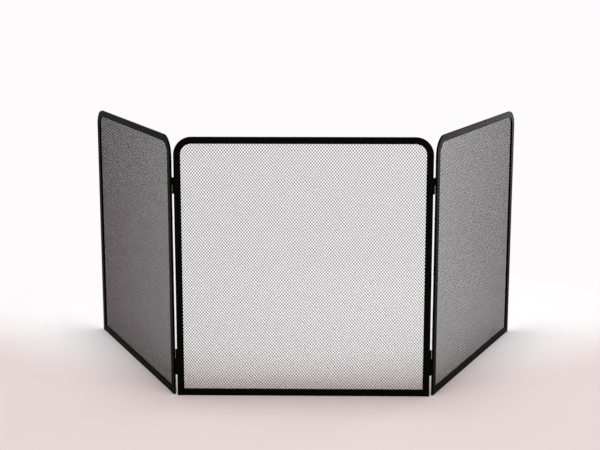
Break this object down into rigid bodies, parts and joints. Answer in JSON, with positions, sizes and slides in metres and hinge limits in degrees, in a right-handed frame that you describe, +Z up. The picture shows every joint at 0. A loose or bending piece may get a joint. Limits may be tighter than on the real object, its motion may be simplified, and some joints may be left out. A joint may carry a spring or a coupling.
{
  "type": "fireplace screen",
  "caption": "Free-standing folding fireplace screen: a centre panel and two hinged wings, each a flat-bar frame with rounded top corners and fine diamond mesh.",
  "frame": {"origin": "centre of the footprint's bounding box, on the floor", "axes": "+X to the viewer's right, +Y away from the viewer towards the fire, +Z up; the centre panel stands across X at the -Y side"},
  "size_m": [1.1338, 0.4826, 0.625],
  "materials": {
    "frame": "satin",
    "strips": "satin",
    "mesh": "satin",
    "hinges": "satin",
    "pins": "satin",
    "screws": "satin"
  },
  "bodies": {
    "centre": {"centre_frame": "frame", "centre_bottom_rail": "frame", "centre_mesh": "mesh", "centre_screws": "screws", "centre_strip_top": "strips", "centre_strip_bottom": "strips", "centre_strip_left": "strips", "centre_strip_right": "strips", "left_upper_hinge_centre_knuckle": "hinges", "left_upper_hinge_pin": "pins", "left_lower_hinge_centre_knuckle": "hinges", "left_lower_hinge_pin": "pins", "right_upper_hinge_centre_knuckle": "hinges", "right_upper_hinge_pin": "pins", "right_lower_hinge_centre_knuckle": "hinges", "right_lower_hinge_pin": "pins"},
    "left_wing": {"left_wing_frame": "frame", "left_wing_bottom_rail": "frame", "left_wing_mesh": "mesh", "left_wing_screws": "screws", "left_wing_strip_top": "strips", "left_wing_strip_bottom": "strips", "left_wing_strip_left": "strips", "left_wing_strip_right": "strips", "left_upper_hinge_wing_knuckle": "hinges", "left_lower_hinge_wing_knuckle": "hinges"},
    "right_wing": {"right_wing_frame": "frame", "right_wing_bottom_rail": "frame", "right_wing_mesh": "mesh", "right_wing_screws": "screws", "right_wing_strip_top": "strips", "right_wing_strip_bottom": "strips", "right_wing_strip_left": "strips", "right_wing_strip_right": "strips", "right_upper_hinge_wing_knuckle": "hinges", "right_lower_hinge_wing_knuckle": "hinges"}
  },
  "joints": [
    {"name": "left_wing_fold", "type": "hinge", "parent": "centre", "child": "left_wing", "pos_m": [-0.3015, -0.23308, 0], "axis": [0, 0, -1], "range_deg": [-79.5, 118.5]},
    {"name": "right_wing_fold", "type": "hinge", "parent": "centre", "child": "right_wing", "pos_m": [0.3015, -0.23308, 0], "axis": [0, 0, 1], "range_deg": [-79.5, 110]}
  ]
}
